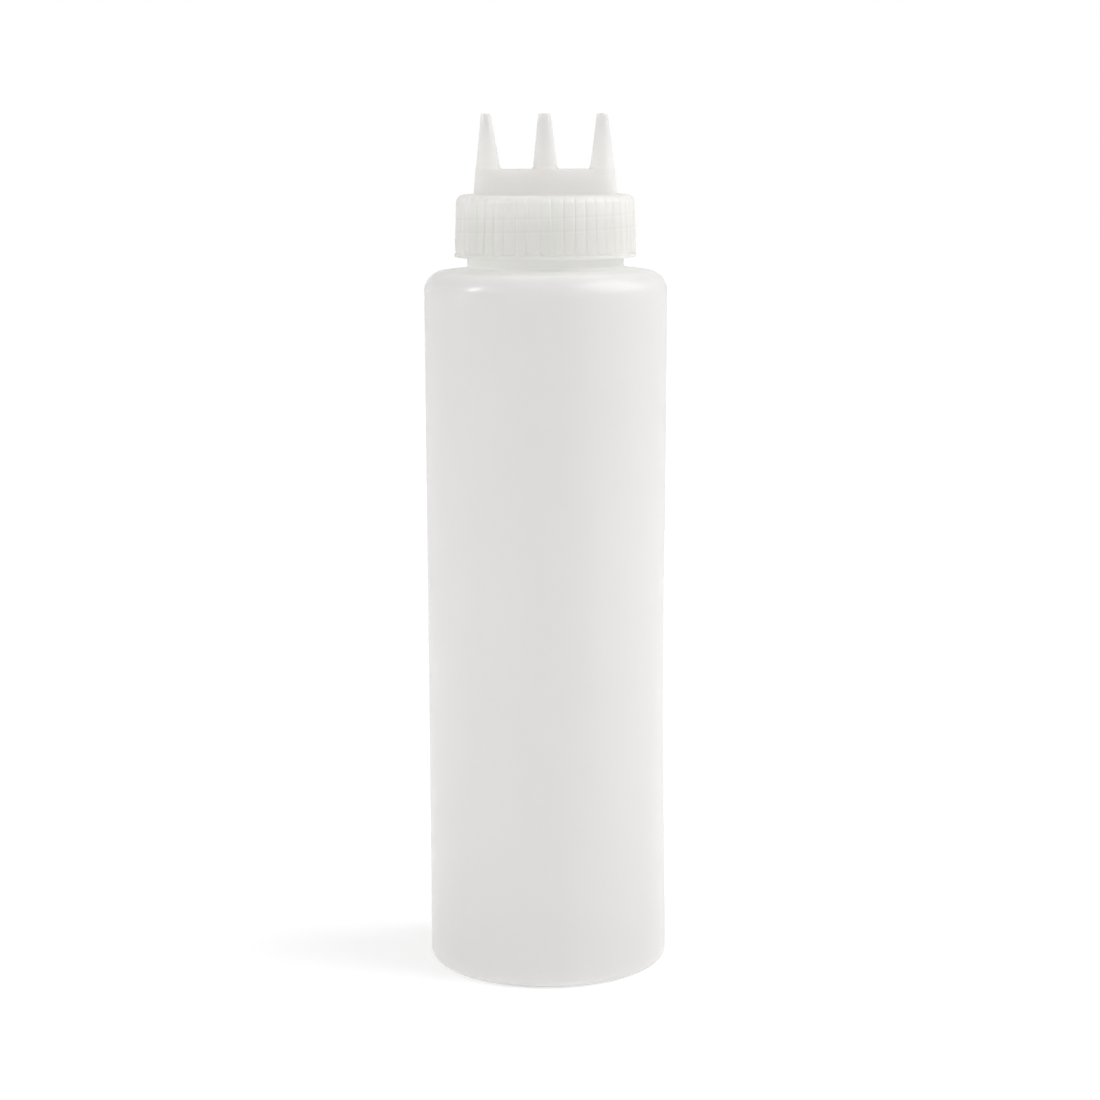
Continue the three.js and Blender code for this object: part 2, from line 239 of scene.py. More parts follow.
def moulded_ldpe(name, low_colour, high_colour, heights, painted_layer=None):
    """Natural LDPE straight from the mould: milky, waxy and soft to the light, part of which comes
    straight through the wall and part spread. Its colour changes from one tint to another between
    two heights; on the bottle this is painted light on the neck. It has faint flow streaks up the
    wall, rare gel specks and a satin skin, whose grain is drawn coarser than the mould's so that it
    shows. The spread share has no gloss of its own, so a raised gloss level gives the surface its
    full shine back. A painter given as the last argument lays painted light and shade over the colour."""
    material = bpy.data.materials.new(name)
    material.use_nodes = True
    tree = material.node_tree
    surface = tree.nodes["Principled BSDF"]
    place = add(tree, "ShaderNodeTexCoord").outputs["Object"]
    parts = add(tree, "ShaderNodeSeparateXYZ", {0: place}).outputs
    high = add(tree, "ShaderNodeMapRange", {0: parts[2], 1: heights[0], 2: heights[1]})
    ramp = {0: high, 6: linear(low_colour), 7: linear(high_colour)}
    by_height = add(tree, "ShaderNodeMix", ramp, data_type="RGBA")
    streak_place = add(tree, "ShaderNodeMapping", {"Vector": place, "Scale": (1, 1, STREAK_STRETCH)})
    flow = {"Vector": streak_place, "Scale": 1 / STREAK_WIDTH, "Detail": STREAK_DETAIL}
    streaks = add(tree, "ShaderNodeTexNoise", flow)
    where_streaked = {0: streaks, 1: STREAK_FROM, 2: STREAK_FULL}
    streak_share = add(tree, "ShaderNodeMapRange", where_streaked)
    tinted = {0: streak_share, 6: by_height.outputs[2], 7: linear(STREAK_TINT)}
    streaked = add(tree, "ShaderNodeMix", tinted, data_type="RGBA", blend_type="MULTIPLY")
    scattered = {"Vector": place, "Scale": 1 / SPECK_SPACING, "Randomness": 1.0}
    specks = add(tree, "ShaderNodeTexVoronoi", scattered)
    core, edge = SPECK_CORE / SPECK_SPACING, SPECK_EDGE / SPECK_SPACING
    fading = {0: specks.outputs["Distance"], 1: core, 2: edge, 3: 1.0, 4: 0.0}
    dot = add(tree, "ShaderNodeMapRange", fading)
    drawn = add(tree, "ShaderNodeSeparateColor", {0: specks.outputs["Color"]}).outputs["Red"]
    rare = add(tree, "ShaderNodeMath", {0: drawn, 1: SPECK_RARITY}, operation="GREATER_THAN")
    speck = add(tree, "ShaderNodeMath", {0: dot, 1: rare}, operation="MULTIPLY")
    dotted = {0: speck, 6: streaked.outputs[2], 7: linear(SPECK_TINT)}
    colour = add(tree, "ShaderNodeMix", dotted, data_type="RGBA").outputs[2]
    # The painted light and shade, where given, goes over the colour here.
    if painted_layer:
        colour = painted_layer(tree, parts, colour)
    tree.links.new(colour, surface.inputs["Base Color"])
    grain = {"Vector": place, "Scale": 1 / SKIN_GRAIN, "Detail": SKIN_DETAIL}
    skin = add(tree, "ShaderNodeTexNoise", grain)
    relief = {"Height": skin, "Distance": SKIN_DEPTH, "Strength": SKIN_STRENGTH}
    bump = add(tree, "ShaderNodeBump", relief)
    tree.links.new(bump.outputs[0], surface.inputs["Normal"])
    surface.inputs["Roughness"].default_value = LDPE_ROUGHNESS
    surface.inputs["IOR"].default_value = LDPE_IOR
    surface.inputs["Specular IOR Level"].default_value = GLOSS_LEVEL
    surface.inputs["Transmission Weight"].default_value = CLEAR_SHARE
    spread = add(tree, "ShaderNodeBsdfTranslucent", {"Color": colour})
    ways = {0: SPREAD_SHARE, 1: surface, 2: spread}
    wall = add(tree, "ShaderNodeMixShader", ways)
    tree.links.new(wall.outputs[0], tree.nodes["Material Output"].inputs["Surface"])
    return material


# Painted light: the neck is painted nearly white from just below the shoulder's top upward, to lift the
# shade that falls around it under the cap.
NECK_PAINTED_LIGHT = "#fefefd"
BODY_WHITE = "#f5f4f4"
NECK_LIGHTENS_OVER = 3 * MM
neck_start = (SHOULDER_TOP_Z - NECK_LIGHTENS_OVER, SHOULDER_TOP_Z)
bottle_plastic = moulded_ldpe("blow_moulded_ldpe", BODY_WHITE, NECK_PAINTED_LIGHT, neck_start)
bottle.data.materials.append(bottle_plastic)

# Neck thread: one raised thread of 1.7 turns, blow-moulded in one with the neck. It runs up
# to the right at six turns an inch and fades out at both ends.
INCH = 25.4 * MM
TURNS_PER_INCH = 6
THREAD_PITCH = INCH / TURNS_PER_INCH
THREAD_TURNS = 1.7
LIP_TO_THREAD_MIDDLE = 8 * MM
THREAD_MIDDLE_Z = LIP_Z - LIP_TO_THREAD_MIDDLE
THREAD_DEPTH = 1.2 * MM
THREAD_ROOT_WIDTH = 2.5 * MM
THREAD_CREST_WIDTH = 0.9 * MM
THREAD_SINK = 0.5 * MM
THREAD_STEPS = 144
FADE_FROM = 0.4
FADED_TO = 0.3
CREST_TURN = -math.pi / 2


def thread(name, inputs, material):
    """A right-hand thread wound by a node tree: a spiral swept with the thread's section, thinned at
    its ends."""
    tree = bpy.data.node_groups.new(name + "_winding", "GeometryNodeTree")
    identifiers = {}
    tree.interface.new_socket("Geometry", in_out="OUTPUT", socket_type="NodeSocketGeometry")
    for label, value in inputs.items():
        socket = tree.interface.new_socket(label, in_out="INPUT", socket_type="NodeSocketFloat")
        identifiers[label] = socket.identifier
    given = add(tree, "NodeGroupInput").outputs
    rise = add(tree, "ShaderNodeMath", {0: given["Pitch"], 1: given["Turns"]}, operation="MULTIPLY")
    spiral = add(
        tree,
        "GeometryNodeCurveSpiral",
        {
            "Resolution": THREAD_STEPS,
            "Rotations": given["Turns"],
            "Start Radius": given["Radius"],
            "End Radius": given["Radius"],
            "Height": rise,
            "Reverse": True,
        },
    )
    upright = add(tree, "GeometryNodeSetCurveNormal", {"Curve": spiral}, mode="Z_UP")
    along = add(tree, "GeometryNodeSplineParameter").outputs["Factor"]
    middle = add(tree, "ShaderNodeMath", {0: along, 1: 0.5}, operation="SUBTRACT")
    off_middle = add(tree, "ShaderNodeMath", {0: middle}, operation="ABSOLUTE")
    to_end = {0: off_middle, 1: FADE_FROM, 2: 0.5, 3: 1.0, 4: FADED_TO}
    thinning = add(tree, "ShaderNodeMapRange", to_end)
    section = add(
        tree,
        "GeometryNodeCurvePrimitiveQuadrilateral",
        {
            "Height": given["Height"],
            "Bottom Width": given["Root Width"],
            "Top Width": given["Crest Width"],
            "Offset": 0.0,
        },
        mode="TRAPEZOID",
    )
    turned_out = {"Geometry": section, "Rotation": (0, 0, CREST_TURN)}
    crest_outward = add(tree, "GeometryNodeTransform", turned_out)
    swept = add(
        tree,
        "GeometryNodeCurveToMesh",
        {
            "Curve": upright,
            "Profile Curve": crest_outward,
            "Scale": thinning,
            "Fill Caps": True,
        },
    )
    start = add(tree, "ShaderNodeCombineXYZ", {"Z": given["Start Angle"]})
    lift = add(tree, "ShaderNodeCombineXYZ", {"Z": given["Start Height"]})
    in_place = {"Geometry": swept, "Translation": lift, "Rotation": start}
    placed = add(tree, "GeometryNodeTransform", in_place)
    realized = add(tree, "GeometryNodeRealizeInstances", {"Geometry": placed})
    finished = add(tree, "GeometryNodeSetMaterial", {"Geometry": realized, "Material": material})
    add(tree, "NodeGroupOutput", {"Geometry": finished})
    return grown(name, bpy.data.meshes.new(name), tree, {identifiers[k]: v for k, v in inputs.items()})


def grown(name, base, tree, values):
    """A plain mesh object grown by a node tree from a base mesh."""
    seed = bpy.data.objects.new(name + "_seed", base)
    bpy.context.scene.collection.objects.link(seed)
    modifier = seed.modifiers.new(name, "NODES")
    modifier.node_group = tree
    for identifier, value in values.items():
        modifier[identifier] = value
    evaluated = seed.evaluated_get(bpy.context.evaluated_depsgraph_get())
    data = bpy.data.meshes.new_from_object(evaluated)
    seed.modifiers.clear()
    bpy.data.objects.remove(seed)
    mesh = bmesh.new()
    mesh.from_mesh(data)
    bmesh.ops.remove_doubles(mesh, verts=mesh.verts, dist=SAME_PLACE)
    bmesh.ops.recalc_face_normals(mesh, faces=mesh.faces)
    made = piece(name, mesh)
    for material in data.materials:
        made.data.materials.append(material)
    return made


def combine(target, others, operation):
    """Joins or cuts a closed piece with others, which are used up."""
    for other in others:
        modifier = target.modifiers.new("combine", "BOOLEAN")
        modifier.operation = operation
        modifier.solver = "MANIFOLD"
        modifier.object = other
        keep_modified(target)
        bpy.data.objects.remove(other)


def keep_modified(target):
    """Makes a piece's modified shape its own mesh."""
    evaluated = target.evaluated_get(bpy.context.evaluated_depsgraph_get())
    data = bpy.data.meshes.new_from_object(evaluated)
    target.modifiers.clear()
    target.data = data


neck_thread = thread(
    "neck_thread",
    {
        "Pitch": THREAD_PITCH,
        "Turns": THREAD_TURNS,
        "Radius": NECK_R + (THREAD_DEPTH - THREAD_SINK) / 2,
        "Height": THREAD_DEPTH + THREAD_SINK,
        "Root Width": THREAD_ROOT_WIDTH,
        "Crest Width": THREAD_CREST_WIDTH,
        "Start Angle": math.pi / 2 - math.pi * THREAD_TURNS,
        "Start Height": THREAD_MIDDLE_Z - THREAD_PITCH * THREAD_TURNS / 2,
    },
    bottle_plastic,
)
combine(bottle, [neck_thread], "UNION")
smooth_but_sharp(bottle.data)
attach(bottle, "bottle")
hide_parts("bottle")

# Nozzle cap: one piece injection-moulded in natural LDPE. A skirt with 48 grip ribs, an inner
# screw thread and a plug ring carries a hollow block and three hollow cone nozzles, each cut
# open at its tip. It screws onto the neck; here it lifts with the cap's body.
CAP_LOW, CAP_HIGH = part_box("nozzle_cap")
CAP_RIM_Z, TIP_Z = CAP_LOW.z, CAP_HIGH.z
CAP_RIM_R = (CAP_HIGH.x - CAP_LOW.x) / 2
LIP_PLAY = 0.3 * MM
TOP_WALL = 2 * MM
CEILING_Z = LIP_Z + LIP_PLAY
CAP_TOP_Z = CEILING_Z + TOP_WALL
CAP_CORNER_R = 2.6 * MM
CAP_TOP_MARGIN = 2 * MM
RIM_BEAD_HEIGHT = 1.2 * MM
RIM_BEAD_ROUND = 0.3 * MM
RIM_BEAD_STEP = 0.05 * MM
RIB_COUNT = 48
RIB_HEIGHT = 0.42 * MM
RIB_FULLNESS = 0.3
RIB_END_LENGTH = 1.7 * MM
RIB_END_RINGS = 10
RIB_TO_BEAD = 0.2 * MM
RIB_START_Z = CAP_RIM_Z + RIM_BEAD_HEIGHT + RIB_TO_BEAD
COLUMNS_PER_RIB = 16
CAP_CORNER_STEPS = 14
RIM_BEAD_STEPS = 4
FACING_OUT = -0.2
THREAD_PLAY = 0.35 * MM
THREAD_BORE_R = NECK_R + THREAD_DEPTH + THREAD_PLAY
CAP_THREAD_REACH = 1.1 * MM
CAP_THREAD_HEIGHT = 1.6 * MM
SKIRT_WALL = 2.02 * MM
SKIRT_DRAFT = 0.55 * MM
UPPER_PLAY = 0.45 * MM
UPPER_BORE_R = NECK_R + UPPER_PLAY
THREAD_TOP_Z = THREAD_MIDDLE_Z + (THREAD_PITCH * THREAD_TURNS + THREAD_ROOT_WIDTH) / 2
BORE_CHAMFER = 0.5 * MM
PLUG_PLAY = 0.3 * MM
PLUG_WALL = 1.1 * MM
PLUG_LENGTH = 3.6 * MM
PLUG_LEAD_IN = 0.5 * MM
PLUG_ROOT = 0.4 * MM
PLUG_OUTER_R = NECK_R - NECK_WALL - PLUG_PLAY
PLUG_INNER_R = PLUG_OUTER_R - PLUG_WALL
PLUG_TIP_Z = CEILING_Z - PLUG_LENGTH
NOZZLE_PITCH = 18.65 * MM
BLOCK_HEIGHT = 8.2 * MM
BLOCK_TOP_R = 4.1 * MM
BLOCK_DRAFT = 0.7 * MM
BLOCK_WALL = 1.8 * MM
BLOCK_TOP_Z = CAP_TOP_Z + BLOCK_HEIGHT
BLOCK_BASE_R = BLOCK_TOP_R + BLOCK_DRAFT
BLOCK_CEILING_Z = BLOCK_TOP_Z - TOP_WALL
NOZZLE_STEP = 0.1 * MM
NOZZLE_BASE_WALL = 1.57 * MM
NOZZLE_FILLET = 1 * MM
TIP_WALL = 0.75 * MM
NOZZLE_BASE_R = BLOCK_TOP_R - NOZZLE_STEP
NOZZLE_BASE_BORE_R = NOZZLE_BASE_R - NOZZLE_BASE_WALL
NOZZLES = (
    {"place": -1, "tip_r": 1.6 * MM, "lean": -0.6 * MM},
    {"place": 0, "tip_r": 2.04 * MM, "lean": -0.15 * MM},
    {"place": 1, "tip_r": 1.82 * MM, "lean": 0.1 * MM},
)
SKIN_VOXEL = 0.25 * MM
SKIN_SMOOTHINGS = 5
SKIN_SMOOTHING = 0.5
NOZZLE_COLUMNS = 72
JOIN = 0.5 * MM

lower_r = THREAD_BORE_R + SKIRT_WALL
upper_r = lower_r - SKIRT_DRAFT
corner_z = CAP_TOP_Z - CAP_CORNER_R
bead_r, bead_z = CAP_RIM_R - RIM_BEAD_ROUND, CAP_RIM_Z + RIM_BEAD_HEIGHT
rib_full = (lower_r, RIB_START_Z + RIB_END_LENGTH)
skirt_profile = [
    (0, CEILING_Z),
    (PLUG_INNER_R - PLUG_ROOT, CEILING_Z),
    (PLUG_INNER_R, CEILING_Z - PLUG_ROOT),
    (PLUG_INNER_R, PLUG_TIP_Z),
    (PLUG_OUTER_R - PLUG_LEAD_IN, PLUG_TIP_Z),
    (PLUG_OUTER_R, PLUG_TIP_Z + 2 * PLUG_LEAD_IN),
    (PLUG_OUTER_R, CEILING_Z),
    (UPPER_BORE_R, CEILING_Z),
    (UPPER_BORE_R, THREAD_TOP_Z + THREAD_BORE_R - UPPER_BORE_R),
    (THREAD_BORE_R, THREAD_TOP_Z),
    (THREAD_BORE_R, CAP_RIM_Z + BORE_CHAMFER),
    (THREAD_BORE_R + BORE_CHAMFER, CAP_RIM_Z),
    *arc(bead_r, CAP_RIM_Z + RIM_BEAD_ROUND, RIM_BEAD_ROUND, -90, 0, RIM_BEAD_STEPS),
    *arc(bead_r, bead_z - RIM_BEAD_ROUND, RIM_BEAD_ROUND, 0, 80, RIM_BEAD_STEPS),
    (lower_r, bead_z + RIM_BEAD_STEP),
    (lower_r, RIB_START_Z),
    *straight((lower_r, RIB_START_Z), rib_full, RIB_END_RINGS),
    rib_full,
    *straight(rib_full, (upper_r, corner_z), 4),
    *arc(upper_r - CAP_CORNER_R, corner_z, CAP_CORNER_R, 0, 90, CAP_CORNER_STEPS),
    (upper_r - CAP_CORNER_R - CAP_TOP_MARGIN, CAP_TOP_Z),
    (0, CAP_TOP_Z),
]
skirt = turned("skirt", skirt_profile, RIB_COUNT * COLUMNS_PER_RIB)


def grip_ribs():
    """A node tree that raises a skirt's outside into ribs: round-shouldered between narrow
    grooves, with round lower ends, running out over the top corner."""
    tree = bpy.data.node_groups.new("grip_ribs", "GeometryNodeTree")
    tree.interface.new_socket("Geometry", in_out="OUTPUT", socket_type="NodeSocketGeometry")
    tree.interface.new_socket("Geometry", in_out="INPUT", socket_type="NodeSocketGeometry")
    values = {
        "Rib Count": float(RIB_COUNT),
        "Rib Height": RIB_HEIGHT,
        "Fullness": RIB_FULLNESS,
        "Start Height": RIB_START_Z,
        "End Length": RIB_END_LENGTH,
        "Top Height": CAP_TOP_Z,
        "Corner Radius": CAP_CORNER_R,
        "Inner Radius": upper_r - CAP_CORNER_R,
    }
    identifiers = {}
    for label in values:
        socket = tree.interface.new_socket(label, in_out="INPUT", socket_type="NodeSocketFloat")
        identifiers[label] = socket.identifier
    given = add(tree, "NodeGroupInput").outputs
    place = add(tree, "GeometryNodeInputPosition")
    parts = add(tree, "ShaderNodeSeparateXYZ", {0: place}).outputs
    angle = add(tree, "ShaderNodeMath", {0: parts[1], 1: parts[0]}, operation="ARCTAN2")
    turns = add(tree, "ShaderNodeMath", {0: angle, 1: 2 * math.pi}, operation="DIVIDE")
    ribs = add(tree, "ShaderNodeMath", {0: turns, 1: given["Rib Count"]}, operation="MULTIPLY")
    nearest = add(tree, "ShaderNodeMath", {0: ribs}, operation="ROUND")
    off_crest = add(tree, "ShaderNodeMath", {0: ribs, 1: nearest}, operation="SUBTRACT")
    across = add(tree, "ShaderNodeMath", {0: off_crest, 1: 2.0}, operation="MULTIPLY")
    squared = add(tree, "ShaderNodeMath", {0: across, 1: 2.0}, operation="POWER")
    room = add(tree, "ShaderNodeMath", {0: 1.0, 1: squared}, operation="SUBTRACT")
    rise = add(tree, "ShaderNodeMath", {0: parts[2], 1: given["Start Height"]}, operation="SUBTRACT")
    fall = add(tree, "ShaderNodeMath", {0: given["Top Height"], 1: parts[2]}, operation="SUBTRACT")
    for height, run in ((rise, given["End Length"]), (fall, given["Corner Radius"])):
        share = add(tree, "ShaderNodeMath", {0: height, 1: run}, operation="DIVIDE", use_clamp=True)
        short = add(tree, "ShaderNodeMath", {0: 1.0, 1: share}, operation="SUBTRACT")
        squared = add(tree, "ShaderNodeMath", {0: short, 1: 2.0}, operation="POWER")
        room = add(tree, "ShaderNodeMath", {0: room, 1: squared}, operation="SUBTRACT")
    room = add(tree, "ShaderNodeMath", {0: room, 1: 0.0}, operation="MAXIMUM")
    rounded = add(tree, "ShaderNodeMath", {0: room, 1: given["Fullness"]}, operation="POWER")
    lift = add(tree, "ShaderNodeMath", {0: rounded, 1: given["Rib Height"]}, operation="MULTIPLY")
    flat = add(tree, "ShaderNodeVectorMath", {0: place, 1: (1, 1, 0)}, operation="MULTIPLY")
    radius = add(tree, "ShaderNodeVectorMath", {0: flat}, operation="LENGTH").outputs["Value"]
    outward = add(tree, "ShaderNodeVectorMath", {0: flat}, operation="NORMALIZE")
    offset = add(tree, "ShaderNodeVectorMath", {0: outward, "Scale": lift}, operation="SCALE")
    normal = add(tree, "GeometryNodeInputNormal")
    along_normal = {0: normal, 1: outward}
    facing = add(tree, "ShaderNodeVectorMath", along_normal, operation="DOT_PRODUCT").outputs["Value"]
    outside = add(tree, "ShaderNodeMath", {0: facing, 1: FACING_OUT}, operation="GREATER_THAN")
    reach = {0: radius, 1: given["Inner Radius"]}
    beyond = add(tree, "ShaderNodeMath", reach, operation="GREATER_THAN")
    chosen = add(tree, "ShaderNodeMath", {0: outside, 1: beyond}, operation="MULTIPLY")
    lifted = {"Geometry": given["Geometry"], "Selection": chosen, "Offset": offset}
    moved = add(tree, "GeometryNodeSetPosition", lifted)
    realized = add(tree, "GeometryNodeRealizeInstances", {"Geometry": moved})
    moulded = {"Geometry": realized, "Material": cap_plastic}
    finished = add(tree, "GeometryNodeSetMaterial", moulded)
    add(tree, "NodeGroupOutput", {0: finished})
    return tree, {identifiers[label]: value for label, value in values.items()}


def round_ended_block(name, low_z, low_r, high_z, high_r):
    """A drafted block with round ends about the outer nozzles' axes."""
    mesh = bmesh.new()
    loops = []
    for z, r in ((low_z, low_r), (high_z, high_r)):
        loop = []
        for end in (1, -1):
            for i in range(NOZZLE_COLUMNS // 2 + 1):
                a = math.pi * (i / (NOZZLE_COLUMNS // 2) - 0.5)
                x, y = end * (NOZZLE_PITCH + r * math.cos(a)), end * r * math.sin(a)
                loop.append(mesh.verts.new((x, y, z)))
        loops.append(loop)
    low, high = loops
    for i in range(len(low)):
        j = (i + 1) % len(low)
        mesh.faces.new((low[i], low[j], high[j], high[i]))
    mesh.faces.new(list(reversed(low)))
    mesh.faces.new(high)
    return piece(name, mesh)


def nozzle_form(name, nozzle, profile):
    """A form turned about a nozzle's axis, which leans a little on its way up."""

    def leaning(point):
        up = max(0, (point.z - BLOCK_TOP_Z) / (TIP_Z - BLOCK_TOP_Z))
        return point + Vector((nozzle["place"] * NOZZLE_PITCH + nozzle["lean"] * up, 0, 0))

    return turned(name, profile, NOZZLE_COLUMNS, leaning)


def block_r(z):
    """The block's outer radius at a height."""
    share = (z - CAP_TOP_Z) / (BLOCK_TOP_Z - CAP_TOP_Z)
    return BLOCK_BASE_R + (BLOCK_TOP_R - BLOCK_BASE_R) * share


# Painted light and shade on the cap: a highlight and a shade line along the thread behind the skirt, and
# shade over the block's top wall.
TRACE_Z = THREAD_MIDDLE_Z + THREAD_CREST_WIDTH
TRACE_OVERRUN = 0.4
TRACE_TURNS = THREAD_TURNS + TRACE_OVERRUN
GLINT_TURN, GLINT_WIDTH, GLINT_STRENGTH = 0.45, 0.08, 0.5
SHADE_TURN, SHADE_WIDTH, SHADE_TINT = 0.62, 0.11, "#fbfbfb"
BLOCK_TOP_SHADE_TINT = "#fefdfd"


def painted_see_through(tree, parts, colour):
    """Painted light and shade for what lies just behind the milky plastic: a painted highlight along
    the upper flank of each thread turn with a painted shade line above it, and painted shade over
    the block's solid top wall. The lines climb with the thread, each at its share of a turn and with
    a width in shares of the pitch."""
    angle = add(tree, "ShaderNodeMath", {0: parts[0], 1: parts[1]}, operation="ARCTAN2")
    turn = add(tree, "ShaderNodeMath", {0: angle, 1: 2 * math.pi}, operation="DIVIDE")
    above = add(tree, "ShaderNodeMath", {0: parts[2], 1: TRACE_Z}, operation="SUBTRACT")
    climb = add(tree, "ShaderNodeMath", {0: above, 1: THREAD_PITCH}, operation="DIVIDE")
    wound = add(tree, "ShaderNodeMath", {0: climb, 1: turn}, operation="ADD")
    half_on = add(tree, "ShaderNodeMath", {0: wound, 1: 0.5}, operation="ADD")
    phase = add(tree, "ShaderNodeMath", {0: half_on}, operation="FRACT")
    off_middle = add(tree, "ShaderNodeMath", {0: climb}, operation="ABSOLUTE")
    threaded = add(tree, "ShaderNodeMath", {0: off_middle, 1: TRACE_TURNS / 2}, operation="LESS_THAN")
    lines = []
    for centre, half_width in ((SHADE_TURN, SHADE_WIDTH), (GLINT_TURN, GLINT_WIDTH)):
        off = add(tree, "ShaderNodeMath", {0: phase, 1: centre}, operation="SUBTRACT")
        off = add(tree, "ShaderNodeMath", {0: off}, operation="ABSOLUTE")
        faded = add(tree, "ShaderNodeMath", {0: off, 1: half_width}, operation="DIVIDE", use_clamp=True)
        line = add(tree, "ShaderNodeMath", {0: 1.0, 1: faded}, operation="SUBTRACT")
        lines.append(add(tree, "ShaderNodeMath", {0: line, 1: threaded}, operation="MULTIPLY"))
    shade_line, glint_line = lines
    above_cavity = {0: parts[2], 1: BLOCK_CEILING_Z}
    above_cavity = add(tree, "ShaderNodeMath", above_cavity, operation="GREATER_THAN")
    below_cones = add(tree, "ShaderNodeMath", {0: parts[2], 1: BLOCK_TOP_Z}, operation="LESS_THAN")
    top_wall_shade = {0: above_cavity, 1: below_cones}
    top_wall_shade = add(tree, "ShaderNodeMath", top_wall_shade, operation="MULTIPLY")
    for share, tint in ((shade_line, SHADE_TINT), (top_wall_shade, BLOCK_TOP_SHADE_TINT)):
        tinted = {0: share, 6: colour, 7: linear(tint)}
        shaded = add(tree, "ShaderNodeMix", tinted, data_type="RGBA", blend_type="MULTIPLY")
        colour = shaded.outputs[2]
    glint = add(tree, "ShaderNodeMath", {0: glint_line, 1: GLINT_STRENGTH}, operation="MULTIPLY")
    brighter = {0: glint, 6: colour, 7: (1, 1, 1, 1)}
    return add(tree, "ShaderNodeMix", brighter, data_type="RGBA").outputs[2]


# The cap's colour darkens from the block's top up to the nozzles' tips.
SKIRT_WHITE = "#faf9f8"
NOZZLE_WHITE = "#f0efef"
cap_plastic = moulded_ldpe(
    "injection_moulded_ldpe", SKIRT_WHITE, NOZZLE_WHITE, (BLOCK_TOP_Z, TIP_Z), painted_see_through
)
rib_tree, rib_values = grip_ribs()
cap = grown("cap_shell", skirt.data.copy(), rib_tree, rib_values)
bpy.data.objects.remove(skirt)

block_low_z = CEILING_Z + JOIN
block = round_ended_block("block", block_low_z, block_r(block_low_z), BLOCK_TOP_Z, BLOCK_TOP_R)
cones, bores = [], []
for nozzle in NOZZLES:
    slope = (NOZZLE_BASE_R - nozzle["tip_r"]) / (TIP_Z - BLOCK_TOP_Z)
    foot_r = NOZZLE_BASE_R - slope * NOZZLE_FILLET
    fillet_z = BLOCK_TOP_Z + NOZZLE_FILLET
    foot = arc(foot_r + NOZZLE_FILLET, fillet_z, NOZZLE_FILLET, 268, 182, FILLET_STEPS)
    flare_low = [(0, BLOCK_TOP_Z - JOIN), (foot[0][0], BLOCK_TOP_Z - JOIN)]
    flare = nozzle_form("flare", nozzle, [*flare_low, *foot, (0, foot[-1][1])])
    width = round_ended_block(
        "width", BLOCK_TOP_Z - 2 * JOIN, BLOCK_TOP_R, BLOCK_TOP_Z + 2 * NOZZLE_FILLET, NOZZLE_BASE_R
    )
    combine(flare, [width], "INTERSECT")
    cone_profile = [
        (0, BLOCK_TOP_Z - JOIN),
        (NOZZLE_BASE_R, BLOCK_TOP_Z - JOIN),
        (NOZZLE_BASE_R, BLOCK_TOP_Z),
        (nozzle["tip_r"], TIP_Z),
        (0, TIP_Z),
    ]
    cones += [flare, nozzle_form("cone", nozzle, cone_profile)]
    mouth_r = nozzle["tip_r"] - TIP_WALL
    bore_profile = [
        (0, BLOCK_CEILING_Z - JOIN),
        (NOZZLE_BASE_BORE_R, BLOCK_CEILING_Z - JOIN),
        (NOZZLE_BASE_BORE_R, BLOCK_TOP_Z),
        (mouth_r, TIP_Z - 2 * mouth_r),
        (mouth_r, TIP_Z + JOIN),
        (0, TIP_Z + JOIN),
    ]
    bores.append(nozzle_form("bore", nozzle, bore_profile))
combine(block, cones, "UNION")
# One skin over the block and its cones, with its corners softened as a mould leaves them.
remesh = block.modifiers.new("skin", "REMESH")
remesh.mode = "VOXEL"
remesh.voxel_size = SKIN_VOXEL
soften = block.modifiers.new("soften", "SMOOTH")
soften.factor = SKIN_SMOOTHING
soften.iterations = SKIN_SMOOTHINGS
keep_modified(block)
cavity = round_ended_block(
    "cavity",
    CEILING_Z - JOIN,
    block_r(CEILING_Z) - BLOCK_WALL,
    BLOCK_CEILING_Z,
    block_r(BLOCK_CEILING_Z) - BLOCK_WALL,
)
cap_thread = thread(
    "cap_thread",
    {
        "Pitch": THREAD_PITCH,
        "Turns": THREAD_TURNS,
        "Radius": THREAD_BORE_R - CAP_THREAD_REACH + CAP_THREAD_HEIGHT / 2,
        "Height": CAP_THREAD_HEIGHT,
        "Root Width": THREAD_CREST_WIDTH,
        "Crest Width": THREAD_ROOT_WIDTH,
        "Start Angle": math.pi / 2 - math.pi * THREAD_TURNS,
        "Start Height": THREAD_MIDDLE_Z - THREAD_PITCH * (THREAD_TURNS + 1) / 2,
    },
    cap_plastic,
)
combine(cap, [cap_thread, block], "UNION")
combine(cap, [cavity, *bores], "DIFFERENCE")
cap.data.materials.clear()
cap.data.materials.append(cap_plastic)
smooth_but_sharp(cap.data)
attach(cap, "cap")
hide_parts("nozzle_cap")

# Studio: a pale floor that takes the shadow and shows white round the object, a white surround
# that lights a little more from the sides than from above, a large soft box on the right, and
# a small lamp and a low strip well round to the left for the glints.
FLOOR_SIZE = 12.0
FLOOR_COLOUR = "#eeeeee"
FLOOR_GLOW = 0.46
SHADOW_GLOW = 0.25
SHADOW_REACH = 0.25
ALL_WHITE_FROM = 1.2
AIM = Vector((0, 0, 0.15))


